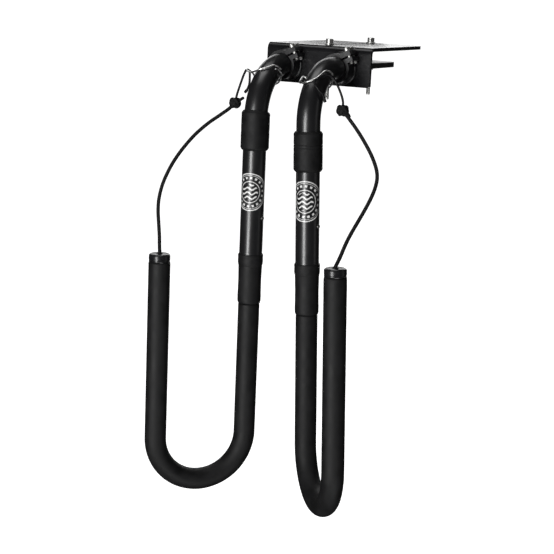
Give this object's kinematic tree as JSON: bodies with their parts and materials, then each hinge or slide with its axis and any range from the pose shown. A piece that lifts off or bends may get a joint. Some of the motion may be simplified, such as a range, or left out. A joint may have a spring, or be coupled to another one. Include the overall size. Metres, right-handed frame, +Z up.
{
  "type": "side-mount board rack",
  "caption": "Side-mount board rack: a bent plate clamps to a carrier's rail and holds bent tube arms ending in padded J hooks closed by stretch cords.",
  "frame": {"origin": "on the underside of the top plate, on the slot's centre line, between the flange and the slot: where the plate rests on the carrier", "axes": "+Z up; +X along the flange, to the right seen from where the arms stick out; -Y away from the vehicle, the way the arms stick out"},
  "size_m": [0.3171, 0.4158, 0.6299],
  "materials": {
    "black_paint": "satin powder coat",
    "zinc": "bright zinc plate",
    "dark_steel": "dark",
    "black_foam": "matte foam skin",
    "black_rubber": "matte",
    "black_gloss": "gloss",
    "coated_wire": "plastic coated",
    "black_cord": "woven"
  },
  "bodies": {
    "bracket": {"bracket": "black_paint", "socket_left": "black_paint", "socket_right": "black_paint", "pinch_bolt_left_front": "zinc", "pinch_bolt_left_rear": "zinc", "pinch_bolt_right_front": "zinc", "pinch_bolt_right_rear": "zinc"},
    "jaw": {"clamp_bar": "black_paint"},
    "screw_front": {"clamp_bolt_front": "zinc", "clamp_washer_front": "zinc"},
    "screw_rear": {"clamp_bolt_rear": "zinc", "clamp_washer_rear": "zinc"},
    "nut_front": {"clamp_nut_front": "zinc"},
    "nut_rear": {"clamp_nut_rear": "zinc"},
    "arm_left": {"arm_tube_left": "black_paint", "pad_left": "black_foam", "collar_left": "black_rubber", "clip_left": "zinc", "cord_hook_left": "coated_wire", "knot_left": "black_cord"},
    "arm_right": {"arm_tube_right": "black_paint", "pad_right": "black_foam", "collar_right": "black_rubber", "clip_right": "zinc", "cord_hook_right": "coated_wire", "knot_right": "black_cord"},
    "button_left": {"lock_button_left": "dark_steel"},
    "button_right": {"lock_button_right": "dark_steel"},
    "hook_left": {"hook_tube_left": "black_paint", "hook_foam_left": "black_foam", "end_cap_left": "black_gloss", "stopper_knot_left": "black_cord", "cord_left": "black_cord"},
    "hook_right": {"hook_tube_right": "black_paint", "hook_foam_right": "black_foam", "end_cap_right": "black_gloss", "stopper_knot_right": "black_cord", "cord_right": "black_cord"}
  },
  "joints": [
    {"name": "jaw_slide", "type": "slide", "parent": "bracket", "child": "jaw", "axis": [0, 0, 1], "range_m": [-0.034, 0.018]},
    {"name": "screw_front_slide", "type": "slide", "parent": "bracket", "child": "screw_front", "axis": [0, 1, 0], "range_m": [0, 0.06]},
    {"name": "screw_rear_slide", "type": "slide", "parent": "bracket", "child": "screw_rear", "axis": [0, 1, 0], "range_m": [-0.06, 0]},
    {"name": "nut_front_travel", "type": "slide", "parent": "screw_front", "child": "nut_front", "axis": [0, 0, 1], "range_m": [-0.034, 0.018]},
    {"name": "nut_rear_travel", "type": "slide", "parent": "screw_rear", "child": "nut_rear", "axis": [0, 0, 1], "range_m": [-0.034, 0.018]},
    {"name": "arm_left_swing", "type": "hinge", "parent": "bracket", "child": "arm_left", "pos_m": [-0.0498, -0.018, -0.0246], "axis": [0, 1, 0], "range_deg": [-2, 90]},
    {"name": "arm_right_swing", "type": "hinge", "parent": "bracket", "child": "arm_right", "pos_m": [0.033, -0.018, -0.0246], "axis": [0, -1, 0], "range_deg": [-4, 87]},
    {"name": "button_left_press", "type": "slide", "parent": "arm_left", "child": "button_left", "axis": [1, 0, 0.0052], "range_m": [-0.0022, 0], "stiffness_N_per_m": 1500, "springref_m": 0.001},
    {"name": "button_right_press", "type": "slide", "parent": "arm_right", "child": "button_right", "axis": [0.999, 0, 0.0448], "range_m": [-0.0022, 0], "stiffness_N_per_m": 1500, "springref_m": 0.001},
    {"name": "hook_left_swivel", "type": "hinge", "parent": "arm_left", "child": "hook_left", "pos_m": [-0.04823, -0.108, -0.3246], "axis": [0.0052, 0, -1], "range_deg": [-41.5, 48.5], "deforming": ["cord_left"]},
    {"name": "hook_right_swivel", "type": "hinge", "parent": "arm_right", "child": "hook_right", "pos_m": [0.04645, -0.121, -0.3243], "axis": [-0.0448, 0, 0.999], "range_deg": [-41.5, 48.5], "deforming": ["cord_right"]}
  ],
  "couplings": [
    {"joint": "nut_front_travel", "follows": "jaw_slide", "ratio": 1},
    {"joint": "nut_rear_travel", "follows": "jaw_slide", "ratio": 1}
  ]
}
